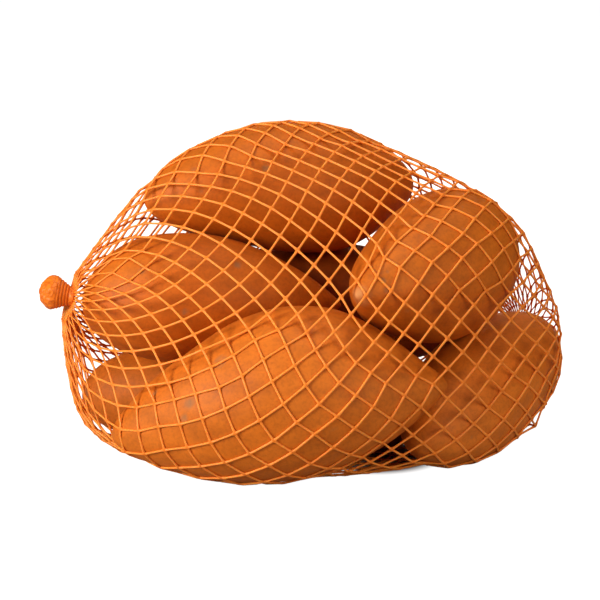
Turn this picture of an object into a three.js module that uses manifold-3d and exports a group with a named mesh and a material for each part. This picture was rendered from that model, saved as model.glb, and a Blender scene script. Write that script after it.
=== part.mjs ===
import * as THREE from 'three';
import { mergeVertices } from 'three/addons/utils/BufferGeometryUtils.js';
import Module from 'manifold-3d';

// Net of sweet potatoes, in millimetres. X right, Y away from the viewer, Z up, the front towards -Y.
// The solid is the potatoes as they lie pressed together, out to the strands of the net drawn over them,
// with the bunched pleats of the net that run to the two knots.

// Each potato: middle of its axis, heading about Z, lean of the axis above level, in degrees,
// length, thickest radius, how sharply the nose and tail close and over what share of the half length
// each is rounded, the bow of its axis, and how many facets lie round and along it.
// A swelling lies at a share of the half length and a turn round the axis, 90 on the upper side;
// it has a height, or a depth below zero, and a reach.
const potatoes = {
  top: {
    at: [-10, 25.5, 105.6], heading: 16, lean: 1.5,
    length: 115, radius: 25.7, nose: 0.6, tail: 0.66, noseRound: 0.03, tailRound: 0.03, bow: 3,
    round: 28, along: 20,
    swellings: [
      { share: 0.36, turn: 255, height: 3.9, reach: 24 },
      { share: -0.5, turn: 255, height: -1.6, reach: 20 },
    ],
  },
  middleLeft: {
    at: [-37.5, -1, 64], heading: 6, lean: -2,
    length: 105.5, radius: 26, nose: 0.88, tail: 0.52, noseRound: 0.06, tailRound: 0, bow: 2.5,
    round: 28, along: 20,
    swellings: [],
  },
  front: {
    at: [-10.8, -44.1, 31.3], heading: -4, lean: 10,
    length: 132.4, radius: 32.9, nose: 1.03, tail: 1.25, noseRound: 0.09, tailRound: 0.4, bow: 5.3,
    round: 32, along: 22,
    swellings: [
      { share: 0.36, turn: 78, height: 3, reach: 26 },
      { share: -0.42, turn: 78, height: -2, reach: 22 },
    ],
  },
  lowerLeft: {
    at: [-36.5, 18.5, 21.5], heading: 2, lean: 0.5,
    length: 112, radius: 21.3, nose: 0.6, tail: 0.46, noseRound: 0.03, tailRound: 0, bow: 1,
    round: 26, along: 18,
    swellings: [],
  },
  rightUpper: {
    at: [46.5, -15, 78.6], heading: 55, lean: 7.5,
    length: 94.5, radius: 29, nose: 0.41, tail: 0.83, noseRound: 0, tailRound: 0.03, bow: -6,
    round: 28, along: 20,
    swellings: [],
  },
  rightLower: {
    at: [73, 3.5, 27.2], heading: 59.5, lean: 12.3,
    length: 119, radius: 24.6, nose: 0.64, tail: 0.62, noseRound: 0.03, tailRound: 0.03, bow: 0.5,
    round: 28, along: 20,
    swellings: [],
  },
  behind: {
    at: [16, 41.3, 55], heading: -5, lean: -7,
    length: 112, radius: 25, nose: 0.57, tail: 0.59, noseRound: 0.03, tailRound: 0.03, bow: 0,
    round: 26, along: 18,
    swellings: [],
  },
  between: {
    at: [34.7, 12.8, 15.6], heading: -115.2, lean: -6.7,
    length: 66.2, radius: 14.8, nose: 0.6, tail: 0.6, noseRound: 0.03, tailRound: 0.03, bow: 0,
    round: 20, along: 14,
    swellings: [],
  },
};

const thicknessStations = 200;

// The net: how far its strands stand off the skins.
const strandHeight = 0.9;

// Knots: the neck each one ties, the bulb outside it, and the strands wound round between them.
const neckRadius = 4;
const neckInset = 6;
const leftNeck = new THREE.Vector3(-94, -3.5, 66);
const rightNeck = new THREE.Vector3(93, 66.5, 38);
const leftKnotWay = new THREE.Vector3(-1, 0, 0.2).normalize();
const rightKnotWay = new THREE.Vector3(0.77, 0.61, -0.2).normalize();
const knotLength = 13;
const bulbAt = 7;
const bulbRadius = 6.6;
const windingPitch = 1.4;
const windingDepth = 0.28;
const windingEnd = 8.4;
const windingStep = 0.35;
const knotTipSteps = 6;
const knotFacets = 18;

// Bunched pleats: each runs from inside a neck to a share of the half length of a potato, near its end.
const pleatFacets = 10;
const pleatNeckRadius = 3.4;
const pleatEndRadius = 4.2;
const pleats = [
  { neck: leftNeck, way: leftKnotWay, potato: 'top', share: -0.9 },
  { neck: leftNeck, way: leftKnotWay, potato: 'lowerLeft', share: -0.92 },
  { neck: rightNeck, way: rightKnotWay, potato: 'rightLower', share: 0.9 },
  { neck: rightNeck, way: rightKnotWay, potato: 'behind', share: 0.9 },
  { neck: rightNeck, way: rightKnotWay, potato: 'rightUpper', share: 0.9 },
];
const pleatStart = 2;

const groundSize = 400;
const colour = 0xe8842c;
const up = new THREE.Vector3(0, 1, 0);

const wasm = await Module();
wasm.setup();

// How far a potato has opened at a share of the half length from one end, for how sharply that end closes
// and how far it is rounded, and how fast it opens there, as a part of that.
function opening(share, sharpness, round) {
  return share ** Math.min(sharpness, 0.5) * (share + round) ** Math.max(sharpness - 0.5, 0);
}
function openingRate(share, sharpness, round) {
  return Math.min(sharpness, 0.5) / share + Math.max(sharpness - 0.5, 0) / (share + round);
}

// Thickness of a potato at share u of its half length, -1 at the tail and 1 at the nose, in no unit.
function thickness(potato, u) {
  const toNose = opening(1 - u, potato.nose, potato.noseRound);
  return toNose * opening(1 + u, potato.tail, potato.tailRound);
}

// Axis, side and upper direction of a potato, and its thickest place.
function framePotato(potato) {
  const heading = THREE.MathUtils.degToRad(potato.heading);
  const lean = THREE.MathUtils.degToRad(potato.lean);
  const axis = new THREE.Vector3(
    Math.cos(heading) * Math.cos(lean),
    Math.sin(heading) * Math.cos(lean),
    Math.sin(lean),
  );
  const side = new THREE.Vector3(-Math.sin(heading), Math.cos(heading), 0);
  const upper = new THREE.Vector3().crossVectors(axis, side);
  let full = 0;
  for (let step = 1; step < thicknessStations; step += 1) {
    full = Math.max(full, thickness(potato, (2 * step) / thicknessStations - 1));
  }
  return { ...potato, middle: new THREE.Vector3(...potato.at), axis, side, upper, full };
}

// Radius of a potato at share u, and how it changes along the axis.
function radiusAt(potato, u) {
  return (potato.radius * thickness(potato, u)) / potato.full;
}
function slopeAt(potato, u) {
  const fromTail = openingRate(1 + u, potato.tail, potato.tailRound);
  const toNose = openingRate(1 - u, potato.nose, potato.noseRound);
  return (radiusAt(potato, u) * (fromTail - toNose)) / (potato.length / 2);
}

// Middle of a potato's thickness at share u, on its bowed axis.
function axisPoint(potato, u) {
  return potato.middle.clone()
    .addScaledVector(potato.axis, (u * potato.length) / 2)
    .addScaledVector(potato.upper, potato.bow * (0.5 - u * u));
}

// How far the skin swells at a share and a turn.
function swelling(potato, u, turn) {
  const radius = radiusAt(potato, u);
  let height = 0;
  for (const swell of potato.swellings) {
    const angle = THREE.MathUtils.degToRad(swell.turn);
    const crest = radiusAt(potato, swell.share);
    const away = Math.hypot(
      ((u - swell.share) * potato.length) / 2,
      radius * Math.cos(turn) - crest * Math.cos(angle),
      radius * Math.sin(turn) - crest * Math.sin(angle),
    );
    height += swell.height * Math.exp(-((away / swell.reach) ** 2));
  }
  return height;
}

// One potato out to the strands on its skin: a sphere's rows are laid along it, its columns round it.
function growPotato(potato) {
  const geometry = new THREE.SphereGeometry(1, potato.round, potato.along);
  const places = geometry.getAttribute('position');
  for (let k = 0; k < places.count; k += 1) {
    const row = Math.floor(k / (potato.round + 1));
    const column = k % (potato.round + 1) % potato.round;
    const u = Math.cos((Math.PI * row) / potato.along);
    const turn = (2 * Math.PI * column) / potato.round - Math.PI / 2;
    const point = axisPoint(potato, u);
    const atEnd = row === 0 || row === potato.along;
    const outward = new THREE.Vector3();
    if (atEnd) {
      outward.copy(potato.axis).multiplyScalar(u);
    } else {
      const radius = radiusAt(potato, u);
      outward.addScaledVector(potato.side, Math.cos(turn)).addScaledVector(potato.upper, Math.sin(turn));
      point.addScaledVector(outward, radius);
      outward.addScaledVector(potato.axis, -slopeAt(potato, u)).normalize();
    }
    const lift = strandHeight + (atEnd ? 0 : swelling(potato, u, turn));
    point.addScaledVector(outward, lift);
    places.setXYZ(k, point.x, point.y, point.z);
  }
  return geometry;
}

// Radius of a knot at a distance from its neck: it widens to the bulb, then rounds off to the tip.
function knotRadius(distance) {
  if (distance < bulbAt) {
    const widening = THREE.MathUtils.smootherstep(distance, -1, bulbAt);
    return THREE.MathUtils.lerp(neckRadius, bulbRadius, widening);
  }
  const share = (distance - bulbAt) / (knotLength - bulbAt);
  return bulbRadius * Math.sqrt(Math.max(1 - share * share, 0));
}

// One knot, turned about its way from inside the neck to the tip. The wound strands are a spiral ripple.
function tieKnot(neck, way) {
  const profile = [new THREE.Vector2(0, -neckInset), new THREE.Vector2(neckRadius, -neckInset)];
  for (let distance = 0; distance < windingEnd; distance += windingStep) {
    profile.push(new THREE.Vector2(knotRadius(distance), distance));
  }
  for (let step = 0; step < knotTipSteps; step += 1) {
    const turn = (0.5 * Math.PI * step) / knotTipSteps;
    const distance = windingEnd + (knotLength - windingEnd) * Math.sin(turn);
    profile.push(new THREE.Vector2(knotRadius(distance), distance));
  }
  profile.push(new THREE.Vector2(0, knotLength));
  const geometry = new THREE.LatheGeometry(profile, knotFacets);
  const places = geometry.getAttribute('position');
  for (let k = 0; k < places.count; k += 1) {
    const column = Math.floor(k / profile.length) % knotFacets;
    const angle = (2 * Math.PI * column) / knotFacets;
    const { x: radius, y: distance } = profile[k % profile.length];
    const wound = distance > 0 ? Math.max(1 - distance / windingEnd, 0) : 0;
    const ripple = windingDepth * wound * Math.cos((2 * Math.PI * distance) / windingPitch + angle);
    places.setXYZ(k, (radius + ripple) * Math.sin(angle), distance, (radius + ripple) * Math.cos(angle));
  }
  geometry.applyQuaternion(new THREE.Quaternion().setFromUnitVectors(up, way));
  return geometry.translate(neck.x, neck.y, neck.z);
}

// One bunched pleat from inside a neck into a potato's end.
function drawPleat(pleat) {
  const start = pleat.neck.clone().addScaledVector(pleat.way, pleatStart);
  const end = axisPoint(laid[pleat.potato], pleat.share);
  const run = new THREE.Vector3().subVectors(end, start);
  const length = run.length();
  const geometry = new THREE.CylinderGeometry(pleatEndRadius, pleatNeckRadius, length, pleatFacets);
  geometry.applyQuaternion(new THREE.Quaternion().setFromUnitVectors(up, run.normalize()));
  const middle = new THREE.Vector3().addVectors(start, end).multiplyScalar(0.5);
  return geometry.translate(middle.x, middle.y, middle.z);
}

// A closed solid from a geometry, its shared vertices merged and its collapsed faces dropped.
function toSolid(geometry) {
  geometry.deleteAttribute('normal');
  geometry.deleteAttribute('uv');
  const welded = mergeVertices(geometry);
  const corners = welded.getIndex().array;
  const faces = [];
  for (let k = 0; k < corners.length; k += 3) {
    const [a, b, c] = corners.slice(k, k + 3);
    if (a !== b && b !== c && c !== a) {
      faces.push(a, b, c);
    }
  }
  return new wasm.Manifold(new wasm.Mesh({
    numProp: 3,
    vertProperties: new Float32Array(welded.getAttribute('position').array),
    triVerts: new Uint32Array(faces),
  }));
}

// A geometry from a solid.
function toGeometry(solid) {
  const mesh = solid.getMesh();
  const geometry = new THREE.BufferGeometry();
  geometry.setAttribute('position', new THREE.Float32BufferAttribute(mesh.vertProperties, 3));
  geometry.setIndex(Array.from(mesh.triVerts));
  geometry.computeVertexNormals();
  return geometry;
}

const laid = Object.fromEntries(
  Object.entries(potatoes).map(([name, potato]) => [name, framePotato(potato)]),
);
const shapes = [
  ...Object.values(laid).map(growPotato),
  ...pleats.map(drawPleat),
  tieKnot(leftNeck, leftKnotWay),
  tieKnot(rightNeck, rightKnotWay),
];
const heap = shapes.map(toSolid).reduce((joined, shape) => joined.add(shape));

// The weight presses the lowest skins flat on the ground.
const ground = new THREE.BoxGeometry(groundSize, groundSize, groundSize).translate(0, 0, -groundSize / 2);
const filled = heap.subtract(toSolid(ground));

const bag = new THREE.Mesh(
  toGeometry(filled),
  new THREE.MeshStandardMaterial({ color: colour, roughness: 0.55 }),
);
bag.name = 'net_bag';

const part = new THREE.Group();
part.name = 'net_of_sweet_potatoes';
part.add(bag);

export default part;
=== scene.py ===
import math
import random

import bmesh
import bpy
import numpy as np
from mathutils import Matrix, Vector, noise
from mathutils.bvhtree import BVHTree
from mathutils.kdtree import KDTree


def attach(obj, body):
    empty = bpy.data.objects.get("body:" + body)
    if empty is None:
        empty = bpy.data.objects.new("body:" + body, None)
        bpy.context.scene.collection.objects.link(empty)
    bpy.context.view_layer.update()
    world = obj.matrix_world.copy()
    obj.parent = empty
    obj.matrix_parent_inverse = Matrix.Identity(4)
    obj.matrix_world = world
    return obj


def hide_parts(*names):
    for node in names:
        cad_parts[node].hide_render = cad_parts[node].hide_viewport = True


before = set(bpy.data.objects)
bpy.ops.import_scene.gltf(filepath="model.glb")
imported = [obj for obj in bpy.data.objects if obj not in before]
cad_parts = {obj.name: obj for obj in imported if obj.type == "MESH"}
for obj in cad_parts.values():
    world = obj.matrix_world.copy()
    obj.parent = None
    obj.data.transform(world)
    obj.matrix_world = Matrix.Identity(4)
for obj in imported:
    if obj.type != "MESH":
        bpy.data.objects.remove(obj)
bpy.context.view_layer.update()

# Net of sweet potatoes: the potatoes, the net drawn tight round them, and a knot at each end.
# Sizes are in millimetres, and a mesh turns to metres when it becomes a piece.
scene = bpy.context.scene
mm = 0.001


def toLinear(hexColour):
    parts = [int(hexColour[k:k + 2], 16) / 255 for k in (1, 3, 5)]
    return [p / 12.92 if p <= 0.04045 else ((p + 0.055) / 1.055) ** 2.4 for p in parts] + [1.0]


# A node, its settings, and a value or a link for each input; stops are a ramp's places and colours.
def addNode(tree, kind, inputs=None, stops=None, **settings):
    node = tree.nodes.new("ShaderNode" + kind)
    for name, value in settings.items():
        setattr(node, name, value)
    for socket, value in (inputs or {}).items():
        if isinstance(value, bpy.types.NodeSocket):
            tree.links.new(value, node.inputs[socket])
        else:
            node.inputs[socket].default_value = value
    for k, (place, colour) in enumerate(stops or []):
        points = node.color_ramp.elements
        point = points[k] if k < 2 else points.new(place)
        point.position = place
        point.color = toLinear(colour)
    return node


def startMaterial(name):
    material = bpy.data.materials.new(name)
    material.use_nodes = True
    material.node_tree.nodes.clear()
    return material, material.node_tree


def addPiece(name, mesh, material):
    mesh.transform(Matrix.Scale(mm, 4))
    mesh.materials.clear()
    mesh.materials.append(material)
    mesh.polygons.foreach_set("use_smooth", [True] * len(mesh.polygons))
    piece = bpy.data.objects.new(name, mesh)
    scene.collection.objects.link(piece)
    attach(piece, "root")
    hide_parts("net_bag")
    return piece


def setAttributes(mesh, valuesByName):
    for name, values in valuesByName.items():
        mesh.attributes.new(name, "FLOAT", "POINT").data.foreach_set("value", values)


def smoothStep(low, high, value):
    share = np.clip((value - low) / (high - low), 0, 1)
    return share * share * (3 - 2 * share)


# Camera, floor and light

cameraView = {"target": (-2, -11.5, 66), "distance": 900, "elevation": 11, "lens": 135}

lights = {
    "keyFromLeft": {"at": (-850, -560, 400), "size": 480, "watts": 13.0, "colour": "#fff4e6"},
    "fillFromRight": {"at": (620, -820, 420), "size": 600, "watts": 4.6, "colour": "#fff0dc"},
    "topLight": {"at": (80, -60, 1150), "size": 600, "watts": 5.0, "colour": "#fff4e6"},
    "softBehind": {"at": (200, 1000, 420), "size": 700, "watts": 6.0, "colour": "#fff4e6"},
}
# The floor keeps its shade within glowFrom of shadeMiddle, under the bag. Past glowTo, a painted glow that
# only the camera sees makes it white.
studio = {
    "floorSize": 9000, "floorColours": ("#9c9a97", "#a5a29f"), "rollerSize": 30,
    "shadeMiddle": (28, -6, 0), "glowFrom": 22, "glowTo": 29, "glow": 1.0,
    "ambient": 0.06, "ambientColour": "#ffdcb8", "seen": 1.0,
}


def setStudio():
    target = Vector(cameraView["target"]) * mm
    tilt = math.radians(cameraView["elevation"])
    back = Vector((0, -math.cos(tilt), math.sin(tilt)))
    cameraData = bpy.data.cameras.new("camera")
    cameraData.lens = cameraView["lens"]
    cameraData.sensor_width = 36
    camera = bpy.data.objects.new("camera", cameraData)
    camera.location = target + back * cameraView["distance"] * mm
    camera.rotation_euler = (math.pi / 2 - tilt, 0, 0)
    scene.collection.objects.link(camera)
    scene.camera = camera

    for name, lamp in lights.items():
        lampData = bpy.data.lights.new(name, "AREA")
        lampData.size = lamp["size"] * mm
        lampData.energy = lamp["watts"]
        lampData.color = toLinear(lamp["colour"])[:3]
        light = bpy.data.objects.new(name, lampData)
        light.location = Vector(lamp["at"]) * mm
        light.visible_glossy = name != "softBehind"  # no pale rim on the skins from behind
        light.rotation_euler = (target - light.location).to_track_quat("-Z", "Y").to_euler()
        scene.collection.objects.link(light)

    # Painted board: matt and grey, and faintly uneven from the roller. Away from the bag, a painted glow
    # that only the camera sees makes it white.
    material, tree = startMaterial("boardWithPaintedGlow")
    place = addNode(tree, "TexCoord").outputs["Object"]
    rollerScale = 1 / (studio["rollerSize"] * mm)
    roller = addNode(tree, "TexNoise", {"Vector": place, "Scale": rollerScale, "Detail": 2}).outputs["Fac"]
    darker, lighter = studio["floorColours"]
    tint = addNode(tree, "ValToRGB", {"Fac": roller}, stops=[(0.3, darker), (0.7, lighter)])
    middle = Vector(studio["shadeMiddle"]) * mm
    reach = addNode(tree, "VectorMath", {0: place, 1: middle}, operation="DISTANCE").outputs["Value"]
    glow = addNode(tree, "MapRange", {"Value": reach, "From Min": studio["glowFrom"] * mm,
                                      "From Max": studio["glowTo"] * mm, "To Max": studio["glow"]})
    seen = addNode(tree, "LightPath").outputs["Is Camera Ray"]
    glow = addNode(tree, "Math", {0: glow.outputs["Result"], 1: seen}, operation="MULTIPLY").outputs[0]
    board = addNode(tree, "BsdfPrincipled", {"Base Color": tint.outputs["Color"], "Roughness": 0.9,
                                             "Emission Color": (1, 1, 1, 1), "Emission Strength": glow})
    addNode(tree, "OutputMaterial", {"Surface": board.outputs["BSDF"]})
    bm = bmesh.new()
    bmesh.ops.create_grid(bm, x_segments=1, y_segments=1, size=studio["floorSize"] * mm / 2)
    mesh = bpy.data.meshes.new("floor")
    bm.to_mesh(mesh)
    bm.free()
    mesh.materials.append(material)
    floor = bpy.data.objects.new("floor", mesh)
    scene.collection.objects.link(floor)

    # White surroundings: full strength behind the object, weaker and warmer as light on it.
    world = bpy.data.worlds.new("studio")
    scene.world = world
    world.use_nodes = True
    tree = world.node_tree
    tree.nodes.clear()
    path = addNode(tree, "LightPath").outputs["Is Camera Ray"]
    strength = addNode(tree, "MapRange", {"Value": path, "To Min": studio["ambient"],
                                          "To Max": studio["seen"]}).outputs["Result"]
    colour = addNode(tree, "Mix", {0: path, 6: toLinear(studio["ambientColour"]), 7: (1, 1, 1, 1)},
                     data_type="RGBA").outputs[2]
    glow = addNode(tree, "Background", {"Color": colour, "Strength": strength})
    addNode(tree, "OutputWorld", {"Surface": glow.outputs["Background"]})
    scene.view_settings.view_transform = "Standard"
    print("studio set")


# Potatoes

# Middle of the axis, heading about Z and lean above level in degrees, length, thickest radius and bow of the
# axis, how sharply the nose and tail close, how far each is rounded, and how pale the skin is. On the hidden
# potatoes behind and between, the low value is painted shade that makes their skin darker.
# A scar and the ring have a share along the axis, a turn about it and a size.
# A swelling has a share, a turn, a height and a reach. A tip is pale past that share towards the tail.
potatoes = {
    "potato_top": dict(at=(-10, 25.5, 105.6), heading=16, lean=1.5, length=115, radius=25.7, bow=3,
                       nose=0.6, tail=0.66, noseRound=0.03, tailRound=0.03, paleAndPaintedShade=0.45,
                       swellings=[(0.36, 255, 3.9, 24), (-0.5, 255, -1.6, 20)],
                       scars=[(-0.21, 154, 2.2)]),
    "potato_middle_left": dict(at=(-37.5, -1, 64), heading=6, lean=-2, length=105.5, radius=26, bow=2.5,
                               nose=0.88, tail=0.52, noseRound=0.06, tailRound=0, paleAndPaintedShade=0.45,
                               scars=[(-0.56, 143, 1.8), (0.16, 135, 2.2), (-0.24, 182, 1.8)]),
    "potato_front": dict(at=(-10.8, -44.1, 31.3), heading=-4, lean=10, length=132.4, radius=32.9, bow=5.3,
                         nose=1.03, tail=1.25, noseRound=0.09, tailRound=0.4, paleAndPaintedShade=0.65,
                         swellings=[(0.36, 78, 3, 26), (-0.42, 78, -2, 22)],
                         scars=[(-0.45, 159, 2.8), (-0.5, 170, 2.2), (-0.68, 131, 1.5)],
                         ring=(-0.25, 134, 2.4)),
    "potato_lower_left": dict(at=(-36.5, 18.5, 21.5), heading=2, lean=0.5, length=112, radius=21.3, bow=1,
                              nose=0.6, tail=0.46, noseRound=0.03, tailRound=0, paleAndPaintedShade=0.9,
                              scars=[(-0.97, 162, 3.4)]),
    "potato_right_upper": dict(at=(46.5, -15, 78.6), heading=55, lean=7.5, length=94.5, radius=29, bow=-6,
                               nose=0.41, tail=0.83, noseRound=0, tailRound=0.03, paleAndPaintedShade=0.5, tip=0.9,
                               scars=[(-0.8, 134, 1.6), (-0.8, 160, 2.4)]),
    "potato_right_lower": dict(at=(73, 3.5, 27.2), heading=59.5, lean=12.3, length=119, radius=24.6, bow=0.5,
                               nose=0.64, tail=0.62, noseRound=0.03, tailRound=0.03, paleAndPaintedShade=0.95),
    # The potatoes behind and between get darker skin, which is painted shade for the gaps they fill.
    "potato_behind": dict(at=(16, 41.3, 55), heading=-5, lean=-7, length=112, radius=25, bow=0,
                          nose=0.57, tail=0.59, noseRound=0.03, tailRound=0.03, paleAndPaintedShade=0.06),
    "potato_between": dict(at=(34.7, 12.8, 15.6), heading=-115.2, lean=-6.7, length=66.2, radius=14.8, bow=0,
                           nose=0.6, tail=0.6, noseRound=0.03, tailRound=0.03, paleAndPaintedShade=0.2),
}

skinRelief = {
    # Mesh, broad lumps, smaller ripples and lengthwise veins. Potatoes are this far apart in the noise.
    "around": 192, "lengthwise": 128, "apart": 90,
    "lumpSize": 30, "lumpHeight": 0.9,
    "rippleSize": 10, "rippleHeight": 0.22,
    "veinSize": 7, "veinHeight": 0.1, "veinDraw": 0.3,
    # Root dimples are drawn at random, and fade like the scars and the ring by shares of their size.
    "firstSeed": 40, "dimples": 14, "dimpleSpan": 0.85, "dimpleSize": (0.8, 1.9), "dimpleDepth": 0.3,
    "dimpleShade": 0.45, "dimpleCore": 0.2, "scarCore": 0.3,
    "ringShade": 0.5, "ringFade": (0.7, 1.1), "ringLine": 0.9, "ringLineFade": (0.05, 0.3),
    "tipFade": 0.09,
}


# How far a potato has opened at a share of the half length from one end, and the rate as a part of that.
def opening(share, sharpness, rounding):
    return share ** min(sharpness, 0.5) * (share + rounding) ** max(sharpness - 0.5, 0)


def openingRate(share, sharpness, rounding):
    return min(sharpness, 0.5) / share + max(sharpness - 0.5, 0) / (share + rounding)


def thickness(shape, u):
    toNose = opening(1 - u, shape["nose"], shape["noseRound"])
    return toNose * opening(1 + u, shape["tail"], shape["tailRound"])


# Axis, side and upper direction of a potato and its thickest place, as the net needs them too.
def layPotato(shape):
    heading = math.radians(shape["heading"])
    lean = math.radians(shape["lean"])
    ahead = np.array([math.cos(heading), math.sin(heading), 0])
    side = np.array([-math.sin(heading), math.cos(heading), 0])
    along = ahead * math.cos(lean) + np.array([0, 0, math.sin(lean)])
    full = thickness(shape, np.linspace(-0.99, 0.99, 199)).max()
    return dict(shape, middle=np.array(shape["at"], float), along=along, side=side,
                upper=np.cross(along, side), full=full)


def radiusAt(laid, u):
    return laid["radius"] * thickness(laid, u) / laid["full"]


# How the radius changes along the axis.
def slopeAt(laid, u):
    fromTail = openingRate(1 + u, laid["tail"], laid["tailRound"])
    toNose = openingRate(1 - u, laid["nose"], laid["noseRound"])
    return radiusAt(laid, u) * (fromTail - toNose) / (laid["length"] / 2)


def growPotato(name, laid, number):
    relief = skinRelief
    draw = random.Random(relief["firstSeed"] + number)
    bm = bmesh.new()
    bmesh.ops.create_uvsphere(bm, u_segments=relief["around"], v_segments=relief["lengthwise"], radius=1)
    onSphere = np.array([vert.co for vert in bm.verts])
    u = np.clip(onSphere[:, 2], -1, 1)
    turn = np.arctan2(onSphere[:, 1], onSphere[:, 0])
    radius = radiusAt(laid, u)
    distance = u * laid["length"] / 2
    grown = np.stack([distance, radius * np.cos(turn), radius * np.sin(turn)], 1)
    place = laid["middle"] + distance[:, None] * laid["along"] + grown[:, 1:2] * laid["side"]
    place = place + (grown[:, 2] + laid["bow"] * (0.5 - u * u))[:, None] * laid["upper"]
    for vert, spot in zip(bm.verts, place):
        vert.co = spot
    bm.normal_update()

    # How far each point of the skin is from a place on it.
    def reachFrom(markU, markTurn):
        return np.linalg.norm(grown - np.array([
            markU * laid["length"] / 2,
            radiusAt(laid, markU) * math.cos(math.radians(markTurn)),
            radiusAt(laid, markU) * math.sin(math.radians(markTurn)),
        ]), axis=1)

    offset = Vector((relief["apart"] * number, 0, 0))
    swell = np.zeros(len(u))
    for k, spot in enumerate(grown):
        at = Vector(spot) + offset
        drawn = Vector((at.x * relief["veinDraw"], at.y, at.z))
        swell[k] += relief["lumpHeight"] * noise.noise(at / relief["lumpSize"])
        swell[k] += relief["rippleHeight"] * noise.noise(at / relief["rippleSize"])
        swell[k] += relief["veinHeight"] * noise.noise(drawn / relief["veinSize"])
    for swellU, swellTurn, height, breadth in laid.get("swellings", []):
        swell += height * np.exp(-(reachFrom(swellU, swellTurn) / breadth) ** 2)
    scar = np.zeros(len(u))
    for _ in range(relief["dimples"]):
        size = draw.uniform(*relief["dimpleSize"])
        span = relief["dimpleSpan"]
        reach = reachFrom(draw.uniform(-span, span), draw.uniform(-180, 180))
        dimple = 1 - smoothStep(relief["dimpleCore"] * size, size, reach)
        scar = np.maximum(scar, relief["dimpleShade"] * dimple)
    for scarU, scarTurn, size in laid.get("scars", []):
        reach = reachFrom(scarU, scarTurn)
        scar = np.maximum(scar, 1 - smoothStep(relief["scarCore"] * size, size, reach))
    if "ring" in laid:
        ringU, ringTurn, size = laid["ring"]
        reach = reachFrom(ringU, ringTurn) / size
        scar = np.maximum(scar, relief["ringShade"] * (1 - smoothStep(*relief["ringFade"], reach)))
        fromLine = np.abs(reach - relief["ringLine"])
        scar = np.maximum(scar, 1 - smoothStep(*relief["ringLineFade"], fromLine))
    swell -= relief["dimpleDepth"] * scar
    for vert, height in zip(bm.verts, swell):
        vert.co += vert.normal * float(height)
    tipStart = laid.get("tip", 2)
    tip = smoothStep(tipStart, tipStart + relief["tipFade"], -u)
    mesh = bpy.data.meshes.new(name)
    bm.to_mesh(mesh)
    bm.free()
    spots = mesh.attributes.new("grown", "FLOAT_VECTOR", "POINT")
    spots.data.foreach_set("vector", (grown + offset).ravel())
    setAttributes(mesh, {"scar": scar, "tip": tip, "paleAndPaintedShade": np.full(len(u), laid["paleAndPaintedShade"])})
    return mesh


# Sizes in millimetres of the skin's mottling, lengthwise streaks and pores, and its colours.
skinLook = {
    "mottleSize": 22, "mottleShare": 0.7, "streakSize": 5, "streakDraw": 0.35, "poreSize": 1.3,
    # The darkest tone serves mostly the hidden potatoes behind and between, where it is painted shade.
    "tones": [(0.0, "#8c3e08"), (0.22, "#c25f0c"), (0.6, "#cf6e16"), (1.0, "#df7b24")],
    "streakTones": [(0.3, "#c4c0bc"), (0.62, "#ffffff")], "streakShare": 0.45,
    "poreTones": [(0.32, "#b4b0ac"), (0.55, "#ffffff")], "poreShare": 0.3,
    "tipColour": "#cb8850", "scarColour": "#84694a", "scarShare": 0.6,
    "roughness": (0.5, 0.68), "poreDepth": 0.2, "streakDepth": 0.4,
}


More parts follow.
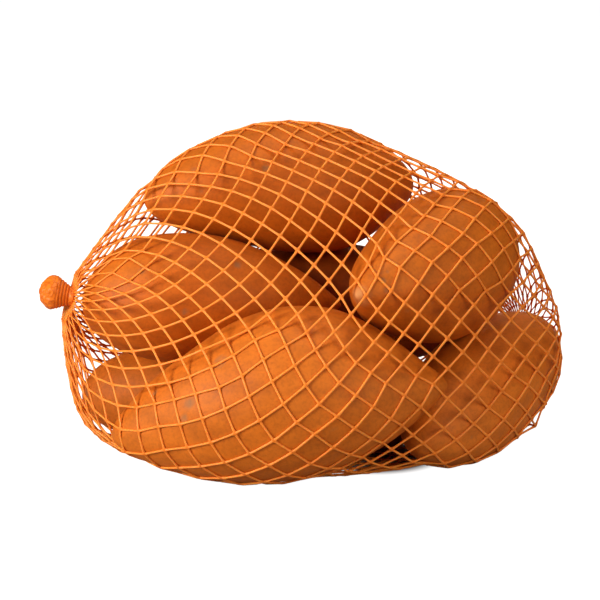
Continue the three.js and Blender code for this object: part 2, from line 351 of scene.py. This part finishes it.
# Raw sweet potato skin, washed and cured: thin copper-orange cork, matt with a low sheen, softly mottled,
# faintly streaked along its length, with pores, grey-brown root scars and a paler tip. On the hidden
# potatoes it is darkened with painted shade.
def makeSkin():
    material, tree = startMaterial("sweetPotatoSkinWashed")
    grown = addNode(tree, "Attribute", attribute_name="grown").outputs["Vector"]
    scar = addNode(tree, "Attribute", attribute_name="scar").outputs["Fac"]
    tip = addNode(tree, "Attribute", attribute_name="tip").outputs["Fac"]
    paleAndPaintedShade = addNode(tree, "Attribute", attribute_name="paleAndPaintedShade").outputs["Fac"]
    look = skinLook
    drawn = addNode(tree, "VectorMath", {0: grown, 1: (look["streakDraw"], 1, 1)},
                    operation="MULTIPLY").outputs["Vector"]
    mottle = addNode(tree, "TexNoise", {"Vector": grown, "Scale": 1 / look["mottleSize"], "Detail": 4,
                                        "Roughness": 0.55}).outputs["Fac"]
    streak = addNode(tree, "TexNoise", {"Vector": drawn, "Scale": 1 / look["streakSize"], "Detail": 3,
                                        "Roughness": 0.5}).outputs["Fac"]
    pore = addNode(tree, "TexNoise", {"Vector": grown, "Scale": 1 / look["poreSize"], "Detail": 3,
                                      "Roughness": 0.6}).outputs["Fac"]
    share = look["mottleShare"]
    shade = addNode(tree, "Math", {0: mottle, 1: share, 2: -share / 2}, operation="MULTIPLY_ADD").outputs[0]
    # How pale the skin is, with painted shade on the hidden potatoes, moves the mottle along the tones.
    shade = addNode(tree, "Math", {0: shade, 1: paleAndPaintedShade}, operation="ADD").outputs[0]
    mixed = addNode(tree, "ValToRGB", {"Fac": shade}, stops=look["tones"]).outputs["Color"]
    for pattern, tones, share in ((streak, "streakTones", "streakShare"), (pore, "poreTones", "poreShare")):
        tint = addNode(tree, "ValToRGB", {"Fac": pattern}, stops=look[tones]).outputs["Color"]
        mixed = addNode(tree, "Mix", {0: look[share], 6: mixed, 7: tint},
                        data_type="RGBA", blend_type="MULTIPLY").outputs[2]
    scarred = addNode(tree, "Math", {0: scar, 1: look["scarShare"]}, operation="MULTIPLY").outputs[0]
    for cover, colour in ((tip, "tipColour"), (scarred, "scarColour")):
        mixed = addNode(tree, "Mix", {0: cover, 6: mixed, 7: toLinear(look[colour])},
                        data_type="RGBA").outputs[2]
    low, high = look["roughness"]
    rough = addNode(tree, "MapRange", {"Value": pore, "To Min": low, "To Max": high})
    bump = addNode(tree, "Bump", {"Height": pore, "Strength": 0.3, "Distance": look["poreDepth"] * mm})
    bump = addNode(tree, "Bump", {"Height": streak, "Strength": 0.3, "Distance": look["streakDepth"] * mm,
                                  "Normal": bump.outputs["Normal"]})
    skin = addNode(tree, "BsdfPrincipled", {"Base Color": mixed, "Roughness": rough.outputs["Result"],
                                            "IOR": 1.45, "Specular IOR Level": 0.3,
                                            "Normal": bump.outputs["Normal"]})
    addNode(tree, "OutputMaterial", {"Surface": skin.outputs["BSDF"]})
    return material


# Each face's corners from the lowest on, and the faces in order, so that every run feels the same skins.
def orderFaces(mesh, start):
    faces = []
    for polygon in mesh.polygons:
        corners = [start + k for k in polygon.vertices]
        lowest = corners.index(min(corners))
        faces.append(corners[lowest:] + corners[:lowest])
    return sorted(faces)


def fillBag():
    skin = makeSkin()
    laidOut = [layPotato(shape) for shape in potatoes.values()]
    points = []
    faces = []
    for number, (name, laid) in enumerate(zip(potatoes, laidOut)):
        mesh = growPotato(name, laid, number)
        faces += orderFaces(mesh, len(points))
        points += [vert.co.copy() for vert in mesh.vertices]
        addPiece(name, mesh, skin)
    print("potatoes grown:", len(potatoes))
    return laidOut, BVHTree.FromPolygons(points, faces)


# Net

net = {
    # Cells round the tube, rows of nodes, and the strand between two welds.
    "cellsRound": 39, "nodeRows": 42, "strandLength": 9.55,
    # Towards the necks the strands are drawn shorter, over more rows on the upper side.
    "shortShare": 0.402, "leftRows": 17.6, "leftOver": 7.6, "rightRows": 24.9, "rightOver": 5,
    "overTilt": 18.5,
    # It starts as a fat tube from neck to neck, its nodes spread and shifted round it near the left neck.
    "leftNeck": (-94, -3.5, 66), "rightNeck": (93, 66.5, 38), "neckRadius": 4,
    "bagMiddle": (2, -5.5, 62), "startRadius": 80, "startFullness": 0.7,
    "spin": 3, "spread": -0.085, "spreadFront": -15.8, "spreadRows": 8.4,
    "shift": 0.79, "shiftFront": -39.3, "shiftRows": 19.4,
    # It settles as its strands pull, close round the filled shape and off the potatoes.
    "settleSteps": 180, "settleRate": 0.22, "tension": 6.64, "pullRate": 0.04, "stretch": 0.3, "drawIn": 0.5,
    "strandHeight": 0.9, "sagBetween": 1.2, "liftBelow": 1.3, "feelers": 500, "stations": 48,
    "nearTip": 0.995, "pastTip": 1.05,
    # A thread thins from weld to strand, and towards the necks.
    "weldWidth": 1.8, "weldEnd": 0.1, "weldEndShare": 0.64, "filletEnd": 0.23, "strandShare": 0.5,
    "neckShare": 0.6, "neckRows": 7,
    # It lies on the skins and the floor, and its welds are pressed flat and deeper in colour.
    "skinGap": 0.42, "hugReach": 2.4, "floorGap": 0.45, "skinClear": 0.04,
    "weldHeight": 0.55, "pressReach": 1.0, "weldCore": 0.5, "weldReach": 1.7,
}

# Rounded places where the net stands clear of the potatoes: middle and radius.
swells = [
    ((-58, 3, 48), 40), ((-66, 0, 30), 29), ((-68, 17, 26), 25.5), ((-53, 12, 101.7), 14),
    ((-84, 2, 74), 7.5), ((74, 18, 78), 19), ((73, 20, 48), 32.5), ((77, 6, 26), 23.5),
]


# Tube of diamonds: rings drawn out from a circle, a node poked in each square, the squares' edges dissolved.
# Nodes and strands are put in order, so that every run gives the same net.
def weaveTube():
    bm = bmesh.new()
    bmesh.ops.create_circle(bm, segments=net["cellsRound"], radius=1)
    rim = bm.edges[:]
    for _ in range(net["nodeRows"] // 2):
        drawn = bmesh.ops.extrude_edge_only(bm, edges=rim)["geom"]
        ring = {part for part in drawn if isinstance(part, bmesh.types.BMVert)}
        sides = [part for part in drawn if isinstance(part, bmesh.types.BMEdge)]
        rim = [edge for edge in sides if ring.issuperset(edge.verts)]
        bmesh.ops.translate(bm, verts=list(ring), vec=(0, 0, 2))
    squares = [edge for edge in bm.edges if len(edge.link_faces) == 2]
    bmesh.ops.poke(bm, faces=bm.faces[:])
    bmesh.ops.dissolve_edges(bm, edges=squares, use_verts=False)
    bm.verts.sort(key=lambda vert: 2 * math.pi * round(vert.co.z) + math.atan2(vert.co.y, vert.co.x))
    bm.verts.index_update()
    ends = {edge: sorted(vert.index for vert in edge.verts) for edge in bm.edges}
    bm.edges.sort(key=lambda edge: len(bm.verts) * ends[edge][0] + ends[edge][1])
    bm.edges.index_update()
    return bm


# Share of the full strand length at a row and an angle round the tube.
def lengthShare(row, angle):
    over = np.maximum(-np.sin(angle - math.radians(net["overTilt"])), 0) ** 2
    fromLeft = row / (net["leftRows"] + net["leftOver"] * over)
    fromRight = (net["nodeRows"] - row) / (net["rightRows"] + net["rightOver"] * over)
    fromEnd = np.clip(np.minimum(fromLeft, fromRight), 0, 1)
    return net["shortShare"] + (1 - net["shortShare"]) * np.sin(math.pi / 2 * fromEnd)


# Where each node starts, on a fat tube from neck to neck, with its row and its angle.
def startPlaces(bm):
    left = np.array(net["leftNeck"], float)
    right = np.array(net["rightNeck"], float)
    axis = (right - left) / np.linalg.norm(right - left)
    level = np.cross(axis, (0, 0, 1))
    level /= np.linalg.norm(level)
    drop = np.cross(axis, level)
    spots = np.array([vert.co for vert in bm.verts])
    rows = np.round(spots[:, 2]).astype(int)
    halfCell = math.pi / net["cellsRound"]
    steps = np.round((np.arctan2(spots[:, 1], spots[:, 0]) - math.pi / 2) / halfCell)
    angles = math.pi / 2 + steps * halfCell + math.radians(net["spin"])
    passed = np.cumsum(lengthShare(np.arange(net["nodeRows"]) + 0.5, angles[:, None]), axis=1)
    share = np.where(rows > 0, passed[np.arange(len(rows)), rows - 1], 0) / passed[:, -1]
    spread = net["spread"] * np.exp(-rows / net["spreadRows"])
    shift = net["shift"] * np.exp(-(rows / net["shiftRows"]) ** 2)
    turned = angles + spread * np.sin(2 * (angles - math.radians(net["spreadFront"])))
    turned = turned + shift * np.sin(angles - math.radians(net["shiftFront"]))
    swell = np.maximum(np.sin(math.pi * share), 0)
    radius = net["neckRadius"] + net["startRadius"] * swell ** net["startFullness"]
    bulge = np.array(net["bagMiddle"]) - (left + right) / 2
    centre = left + share[:, None] * (right - left) + swell[:, None] * bulge
    place = centre + (radius * np.cos(turned))[:, None] * level
    place = place + (radius * np.sin(turned))[:, None] * drop
    return place, rows, angles


# How far the filled net reaches in each of many directions.
def feelReach(laidOut):
    k = np.arange(net["feelers"])
    z = 1 - 2 * (k + 0.5) / net["feelers"]
    turn = k * math.pi * (3 - math.sqrt(5))
    across = np.sqrt(1 - z * z)
    ways = np.stack([across * np.cos(turn), across * np.sin(turn), z], 1)
    sag = net["sagBetween"] + net["liftBelow"] * np.maximum(-z, 0)
    u = -np.cos(math.pi * np.arange(net["stations"] + 1) / net["stations"])[:, None]
    reach = np.full(net["feelers"], -np.inf)
    for laid in laidOut:
        alongPart = ways @ laid["along"]
        line = ways @ laid["middle"] + u * laid["length"] / 2 * alongPart
        line = line + laid["bow"] * (0.5 - u * u) * (ways @ laid["upper"])
        line = line + radiusAt(laid, u) * np.sqrt(np.maximum(1 - alongPart ** 2, 0))
        reach = np.maximum(reach, line.max(0) + net["strandHeight"] - sag)
    for middle, radius in swells:
        reach = np.maximum(reach, ways @ np.array(middle) + radius)
    for neck in (net["leftNeck"], net["rightNeck"]):
        reach = np.maximum(reach, ways @ np.array(neck) + net["neckRadius"])
    return ways, reach


# Lifts the nodes that are in a potato, or too close to it, off its skin.
def liftOff(nodes, laid):
    offset = nodes - laid["middle"]
    distance = offset @ laid["along"]
    share = distance / (laid["length"] / 2)
    u = np.clip(share, -net["nearTip"], net["nearTip"])
    bowed = laid["bow"] * (0.5 - u * u)
    outward = offset - distance[:, None] * laid["along"] - bowed[:, None] * laid["upper"]
    across = np.maximum(np.linalg.norm(outward, axis=1), 0.001)
    radius = radiusAt(laid, u)
    slope = slopeAt(laid, u)
    steep = np.sqrt(1 + slope * slope)
    short = net["strandHeight"] - (across - radius) / steep
    lift = np.where(np.abs(share) < net["pastTip"], np.maximum(short, 0), 0) / steep
    return nodes + lift[:, None] * (outward / across[:, None] - slope[:, None] * laid["along"])


# Strands draw tight while the nodes stay close round the filled shape, off the potatoes and above the floor.
def settleNet(bm, laidOut):
    nodes, rows, angles = startPlaces(bm)
    free = (rows > 0) & (rows < net["nodeRows"])
    inner = [edge for edge in bm.edges if not edge.is_boundary]
    first, second = np.array([sorted(vert.index for vert in edge.verts) for edge in inner]).T
    lower = np.where(rows[first] < rows[second], first, second)
    target = net["strandLength"] * lengthShare(rows[lower] + 0.5, angles[lower])
    ways, reach = feelReach(laidOut)
    for _ in range(net["settleSteps"]):
        strand = nodes[second] - nodes[first]
        length = np.maximum(np.linalg.norm(strand, axis=1), 1e-6)
        pull = net["pullRate"] * np.maximum(length - target + net["tension"], 0)
        pull = pull + np.maximum(length - net["strandLength"] - net["stretch"], 0)
        strand = strand * (pull / length)[:, None]
        moved = np.zeros_like(nodes)
        np.add.at(moved, first, strand)
        np.subtract.at(moved, second, strand)
        loose = nodes[free] + net["settleRate"] * moved[free]
        beyond = loose @ ways.T - reach
        chosen = beyond.argmax(1)
        short = -beyond[np.arange(len(loose)), chosen]
        short = np.where(short < 0, net["drawIn"] * short, short)
        loose = loose + short[:, None] * ways[chosen]
        for laid in laidOut:
            loose = liftOff(loose, laid)
        loose[:, 2] = np.maximum(loose[:, 2], 0)
        nodes[free] = loose
    for vert, spot in zip(bm.verts, nodes):
        vert.co = spot
    print("net settled, strand", round(float(length.mean()), 2), "mm")
    return rows


# Lays a point of the net on the skin under it, if it is near, and off the floor.
def layOnSkin(spot, skins):
    onSkin, normal, _, _ = skins.find_nearest(spot)
    gap = (spot - onSkin).dot(normal)
    if gap < net["hugReach"]:
        share = float(smoothStep(net["skinGap"], net["hugReach"], gap))
        spot = spot + normal * (net["skinGap"] - gap) * (1 - share)
    spot.z = max(spot.z, net["floorGap"])
    return spot


# Nodes of a thread from neck to neck: at a weld it goes on along the edge that shares no face with the last.
def followThread(vert, edge):
    thread = [vert]
    while edge:
        vert = edge.other_vert(vert)
        thread.append(vert)
        beside = set(edge.link_faces)
        inner = [other for other in vert.link_edges if not other.is_boundary]
        onward = [other for other in inner if beside.isdisjoint(other.link_faces)]
        edge = onward[0] if onward else None
    return thread


# Round threads that thin from each weld to the middle of a strand, laid on the skins.
def drawNet(laidOut, skins):
    bm = weaveTube()
    rows = settleNet(bm, laidOut)
    tree = KDTree(len(bm.verts))
    for vert in bm.verts:
        vert.co = layOnSkin(vert.co, skins)
        tree.insert(vert.co, vert.index)
    tree.balance()
    bm.normal_update()
    normals = [vert.normal.copy() for vert in bm.verts]
    fromNeck = np.minimum(rows, net["nodeRows"] - rows)
    full = net["neckShare"] + (1 - net["neckShare"]) * smoothStep(0, net["neckRows"], fromNeck)
    curve = bpy.data.curves.new("netThreads", "CURVE")
    curve.dimensions = "3D"
    curve.bevel_depth = net["weldWidth"] / 2
    curve.bevel_resolution = 1
    curve.use_fill_caps = True
    stations = [(0, 1), (net["weldEnd"], net["weldEndShare"]), (net["filletEnd"], net["strandShare"]),
                (1 - net["filletEnd"], net["strandShare"]), (1 - net["weldEnd"], net["weldEndShare"])]
    for first in [vert for vert in bm.verts if rows[vert.index] == 0]:
        inner = [edge for edge in first.link_edges if not edge.is_boundary]
        for edge in sorted(inner, key=lambda edge: edge.index):
            thread = followThread(first, edge)
            points = []
            radii = []
            for here, there in zip(thread, thread[1:]):
                for share, thick in stations:
                    points += [*layOnSkin(here.co.lerp(there.co, share), skins), 1]
                    radii.append(thick * (full[here.index] * (1 - share) + full[there.index] * share))
            points += [*thread[-1].co, 1]
            radii.append(full[thread[-1].index])
            spline = curve.splines.new("POLY")
            spline.points.add(len(radii) - 1)
            spline.points.foreach_set("co", points)
            spline.points.foreach_set("radius", radii)
    bm.free()
    threads = bpy.data.objects.new("netThreads", curve)
    scene.collection.objects.link(threads)
    solid = bpy.data.meshes.new_from_object(threads.evaluated_get(bpy.context.evaluated_depsgraph_get()))
    bpy.data.objects.remove(threads)

    # Welds are pressed flat, strands lie on the skins and the floor.
    weld = []
    for vert in solid.vertices:
        middle, index, away = tree.find(vert.co)
        height = (vert.co - middle).dot(normals[index])
        if away < net["pressReach"] and abs(height) > net["weldHeight"]:
            vert.co -= normals[index] * (height - math.copysign(net["weldHeight"], height))
        onSkin, normal, _, _ = skins.find_nearest(vert.co)
        gap = (vert.co - onSkin).dot(normal)
        if gap < net["skinClear"]:
            vert.co += normal * (net["skinClear"] - gap)
        vert.co.z = max(vert.co.z, 0)
        weld.append(1 - float(smoothStep(net["weldCore"], net["weldReach"], (vert.co - middle).length)))
    setAttributes(solid, {"weld": weld})
    solid.name = "net_strands"
    print("net drawn:", sum(len(polygon.vertices) - 2 for polygon in solid.polygons), "triangles")
    return solid


# Sizes in millimetres of the plastic's clouds and draw marks, its roughness and colours. Then how light
# spreads in a strand: its share, how near a weld it stops, how far it goes, and the part of each colour.
plasticLook = {
    "cloudSize": 7, "drawSize": 0.8, "drawDepth": 0.05, "roughness": (0.35, 0.55),
    # The crease colour is painted shade in the grooves and folds of the knots.
    "strandTones": [(0.3, "#f7923a"), (0.7, "#fd9e44")], "weldColour": "#e87a1c", "creaseShadeColour": "#b84a08",
    "cloudiness": 0.5, "clearFrom": 0.3, "spread": 0.5, "spreadColour": (1, 0.45, 0.15),
}


# Polyethylene net, extruded and stretched: smooth, half glossy, a little cloudy, deeper in colour at the
# thick welds, and darker in the creases of the knots, which is painted shade.
def makeNetPlastic():
    material, tree = startMaterial("polyethyleneNetExtruded")
    place = addNode(tree, "TexCoord").outputs["Object"]
    weld = addNode(tree, "Attribute", attribute_name="weld").outputs["Fac"]
    creaseShade = addNode(tree, "Attribute", attribute_name="creaseShade").outputs["Fac"]
    look = plasticLook
    cloud = addNode(tree, "TexNoise", {"Vector": place, "Scale": 1 / (look["cloudSize"] * mm),
                                       "Detail": 3}).outputs["Fac"]
    draw = addNode(tree, "TexNoise", {"Vector": place, "Scale": 1 / (look["drawSize"] * mm),
                                      "Detail": 2}).outputs["Fac"]
    colour = addNode(tree, "ValToRGB", {"Fac": cloud}, stops=look["strandTones"]).outputs["Color"]
    # Welds take their deeper colour, and the knots' creases take a painted shade.
    for cover, deeper in ((weld, "weldColour"), (creaseShade, "creaseShadeColour")):
        colour = addNode(tree, "Mix", {0: cover, 6: colour, 7: toLinear(look[deeper])},
                         data_type="RGBA").outputs[2]
    low, high = look["roughness"]
    rough = addNode(tree, "MapRange", {"Value": draw, "To Min": low, "To Max": high})
    cloudy = addNode(tree, "MapRange", {"Value": weld, "From Max": look["clearFrom"],
                                        "To Min": look["cloudiness"], "To Max": 0})
    bump = addNode(tree, "Bump", {"Height": draw, "Strength": 0.2, "Distance": look["drawDepth"] * mm})
    plastic = addNode(tree, "BsdfPrincipled", {
        "Base Color": colour, "Roughness": rough.outputs["Result"], "IOR": 1.5, "Specular IOR Level": 0.3,
        "Subsurface Weight": cloudy.outputs["Result"], "Subsurface Scale": look["spread"] * mm,
        "Subsurface Radius": look["spreadColour"], "Normal": bump.outputs["Normal"],
    })
    addNode(tree, "OutputMaterial", {"Surface": plastic.outputs["BSDF"]})
    return material


# Knots

# Profile along the way out of the bag, wound strands and lumps of a knot.
knot = {
    "around": 128, "lengthwise": 96, "length": 13, "bulbAt": 7, "bulbRadius": 6.6, "neckRadius": 3.9,
    "inside": 1.2, "innerRound": 0.4, "windingPitch": 1.2, "windingDepth": 0.36, "windingStart": 1.2,
    "windingRise": 1, "windingFade": 2.4, "windingEnd": 7.4, "bunched": 1.0,
    # foldShade and foldFade set the painted shade along the folds of the head.
    "lumpSize": 3.4, "lumpHeight": 0.8, "foldSize": 1.6, "foldHeight": 0.3, "foldShade": 0.8, "foldFade": 5,
    "apart": 50,
}
knotEnds = {
    "knot_left": {"neck": net["leftNeck"], "way": (-1, 0, 0.2)},
    "knot_right": {"neck": net["rightNeck"], "way": (0.77, 0.61, -0.2)},
}


# A bulb on a neck, with wound ridges beside the bag and a lumpy, folded head.
def tieKnot(name, end, number):
    way = np.array(end["way"], float)
    way /= np.linalg.norm(way)
    side = np.cross(way, (0, 0, 1))
    side /= np.linalg.norm(side)
    over = np.cross(side, way)
    bm = bmesh.new()
    bmesh.ops.create_uvsphere(bm, u_segments=knot["around"], v_segments=knot["lengthwise"], radius=1)
    onSphere = np.array([vert.co for vert in bm.verts])
    turn = np.arctan2(onSphere[:, 1], onSphere[:, 0])
    span = knot["length"] + knot["inside"]
    distance = (np.clip(onSphere[:, 2], -1, 1) + 1) / 2 * span - knot["inside"]
    widening = smoothStep(0, knot["bulbAt"], distance)
    radius = knot["neckRadius"] + (knot["bulbRadius"] - knot["neckRadius"]) * widening
    closing = np.clip((distance - knot["bulbAt"]) / (knot["length"] - knot["bulbAt"]), 0, 1)
    radius = radius * np.sqrt(np.maximum(1 - closing ** 2, 0))
    radius = radius * np.clip((distance + knot["inside"]) / knot["innerRound"], 0, 1)
    winding = smoothStep(knot["windingStart"] - knot["windingRise"], knot["windingStart"], distance)
    fade = smoothStep(knot["windingEnd"] - knot["windingFade"], knot["windingEnd"], distance)
    winding = winding * (1 - fade)
    ridge = np.abs(np.cos(math.pi * distance / knot["windingPitch"] + turn / 2))
    radius = radius - knot["windingDepth"] * winding * (1 - ridge) * smoothStep(0, 1, radius)
    place = np.array(end["neck"]) + distance[:, None] * way
    place = place + (radius * np.cos(turn))[:, None] * side + (radius * np.sin(turn))[:, None] * over
    for vert, spot in zip(bm.verts, place):
        vert.co = spot
    bmesh.ops.recalc_face_normals(bm, faces=bm.faces[:])
    bm.normal_update()
    # Painted shade in the grooves between the wound ridges, and further down along the folds of the head.
    creaseShade = winding * (1 - ridge)
    for k, vert in enumerate(bm.verts):
        at = Vector(place[k]) + Vector((knot["apart"] * number, 0, 0))
        head = 1 - float(winding[k])
        lump = noise.noise(at / knot["lumpSize"])
        fold = abs(noise.noise(at / knot["foldSize"]))
        rise = knot["lumpHeight"] * lump - knot["foldHeight"] * (1 - 2 * fold)
        vert.co += vert.normal * (head * rise)
        creaseShade[k] = max(creaseShade[k], head * max(0, knot["foldShade"] - knot["foldFade"] * fold))
    mesh = bpy.data.meshes.new(name)
    bm.to_mesh(mesh)
    bm.free()
    setAttributes(mesh, {"creaseShade": creaseShade, "weld": np.full(len(creaseShade), knot["bunched"])})
    return mesh


setStudio()
laidOut, skins = fillBag()
plastic = makeNetPlastic()
addPiece("net_strands", drawNet(laidOut, skins), plastic)
for number, (name, end) in enumerate(knotEnds.items()):
    addPiece(name, tieKnot(name, end, number), plastic)
print("knots tied:", len(knotEnds))
